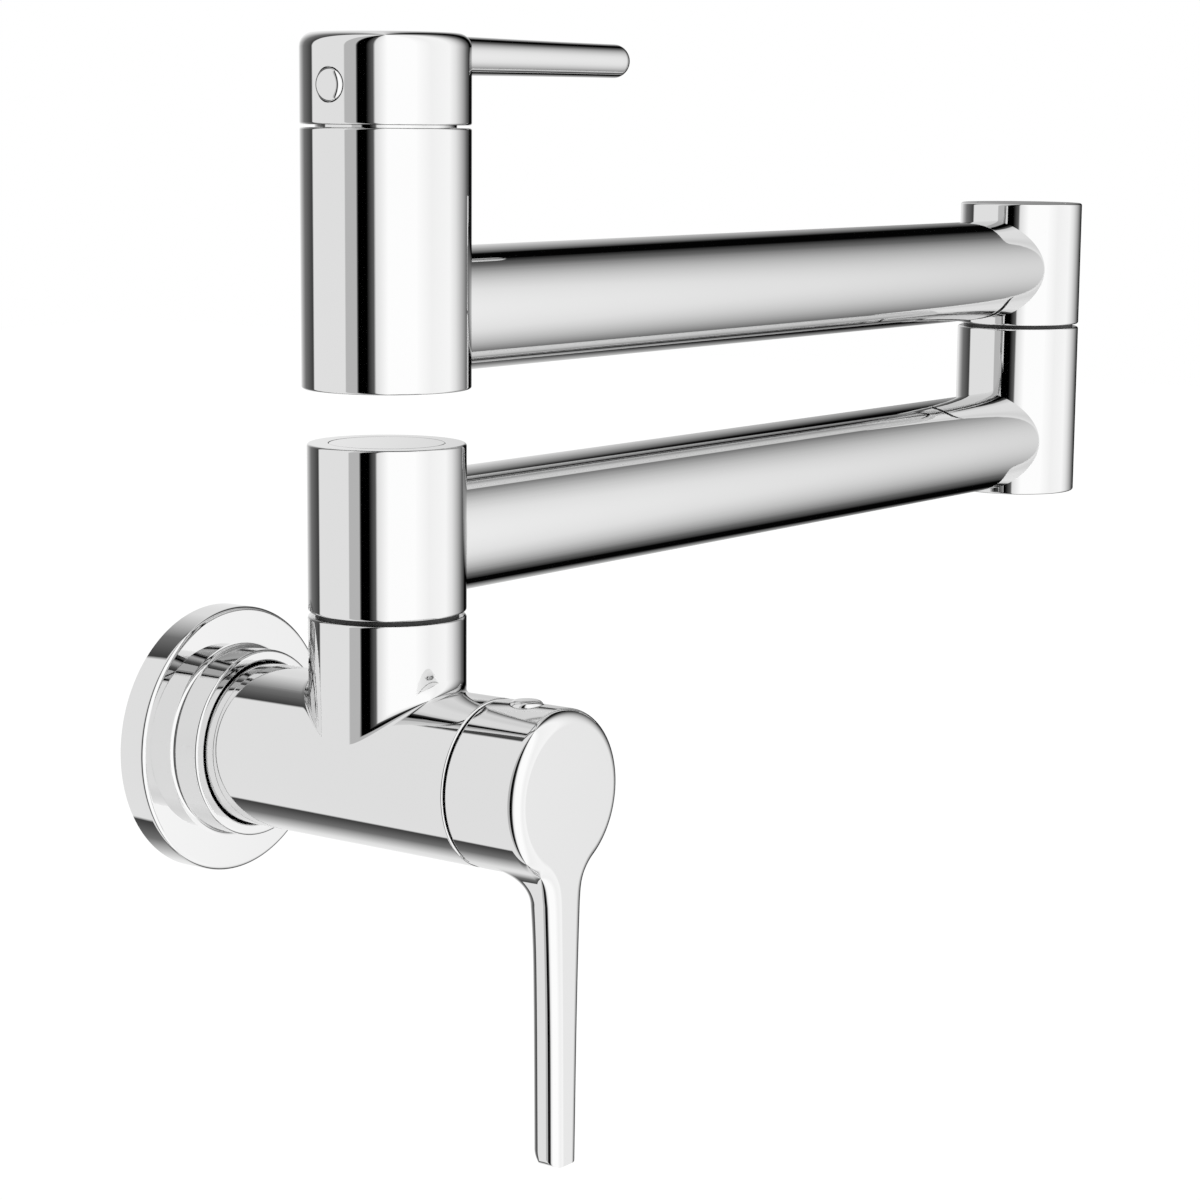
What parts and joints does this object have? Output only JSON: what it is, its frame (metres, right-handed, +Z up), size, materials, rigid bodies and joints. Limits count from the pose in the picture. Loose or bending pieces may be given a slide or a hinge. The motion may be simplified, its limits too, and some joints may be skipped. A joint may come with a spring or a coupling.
{
  "type": "wall mounted pot filler",
  "caption": "Wall mounted pot filler: a double-jointed swing spout folded beside the wall, with a quarter-turn shutoff lever at the wall and another over the outlet.",
  "frame": {"origin": "centre of the supply inlet's mouth, in the plane of the finished wall", "axes": "+Y into the wall along the supply inlet, +Z up along the riser and both swivels, +X along the two folded arms"},
  "size_m": [0.3252, 0.1001, 0.2351],
  "materials": {
    "polished_chrome": "mirror polished chrome plate over brass",
    "raw_brass": "turned raw brass",
    "black_rubber": "moulded matte rubber",
    "white_ceramic": "lapped alumina ceramic",
    "stainless_steel": "plain stainless steel",
    "black_acetal": "machined black acetal",
    "grey_foam": "closed-cell foam",
    "grey_nylon": "moulded nylon"
  },
  "bodies": {
    "wall_valve": {"wall_flange": "polished_chrome", "flange_gasket": "grey_foam", "flange_grip_ring": "black_rubber", "valve_body": "polished_chrome", "shutoff_seat_seal": "black_rubber", "shutoff_fixed_disc": "white_ceramic", "shutoff_cartridge": "raw_brass", "shutoff_shoulder_ring": "black_rubber", "shutoff_clamp_ring": "polished_chrome", "riser_spindle": "raw_brass", "riser_spindle_rings": "black_rubber", "riser_thrust_washer": "black_acetal", "riser_spindle_nut": "raw_brass"},
    "shutoff_lever": {"shutoff_turning_disc": "white_ceramic", "shutoff_stem": "raw_brass", "shutoff_stem_rings": "black_rubber", "shutoff_stem_clip": "stainless_steel", "shutoff_handle": "polished_chrome", "shutoff_set_screw": "stainless_steel", "shutoff_screw_cap": "polished_chrome"},
    "lower_arm": {"lower_hub": "polished_chrome", "lower_hub_cap": "polished_chrome", "lower_arm_tube": "polished_chrome", "elbow_base": "polished_chrome", "elbow_spindle": "raw_brass", "elbow_spindle_rings": "black_rubber", "elbow_thrust_washer": "black_acetal", "elbow_spindle_nut": "raw_brass"},
    "upper_arm": {"elbow_top_hub": "polished_chrome", "elbow_hub_cap": "polished_chrome", "upper_arm_tube": "polished_chrome", "outlet_body": "polished_chrome", "outlet_seat_seal": "black_rubber", "outlet_fixed_disc": "white_ceramic", "outlet_cartridge": "raw_brass", "outlet_shoulder_ring": "black_rubber", "outlet_clamp_ring": "polished_chrome", "aerator_housing": "polished_chrome", "aerator_insert": "grey_nylon", "aerator_washer": "black_rubber"},
    "outlet_lever": {"outlet_turning_disc": "white_ceramic", "outlet_stem": "raw_brass", "outlet_stem_rings": "black_rubber", "outlet_stem_clip": "stainless_steel", "outlet_handle_hub": "polished_chrome", "outlet_lever_rod": "polished_chrome", "outlet_set_screw": "stainless_steel", "outlet_screw_cap": "polished_chrome"}
  },
  "joints": [
    {"name": "riser_swivel", "type": "hinge", "parent": "wall_valve", "child": "lower_arm", "pos_m": [0, -0.0509, 0.04], "axis": [0, 0, 1], "range_deg": [-180, 0]},
    {"name": "elbow_swivel", "type": "hinge", "parent": "lower_arm", "child": "upper_arm", "pos_m": [0.2783, -0.0509, 0.08], "axis": [0, 0, 1], "continuous": true},
    {"name": "shutoff_turn", "type": "hinge", "parent": "wall_valve", "child": "shutoff_lever", "pos_m": [0, -0.09, 0], "axis": [0, -1, 0], "range_deg": [0, 90]},
    {"name": "outlet_turn", "type": "hinge", "parent": "upper_arm", "child": "outlet_lever", "pos_m": [0, -0.0509, 0.14], "axis": [0, 0, -1], "range_deg": [0, 90]}
  ]
}
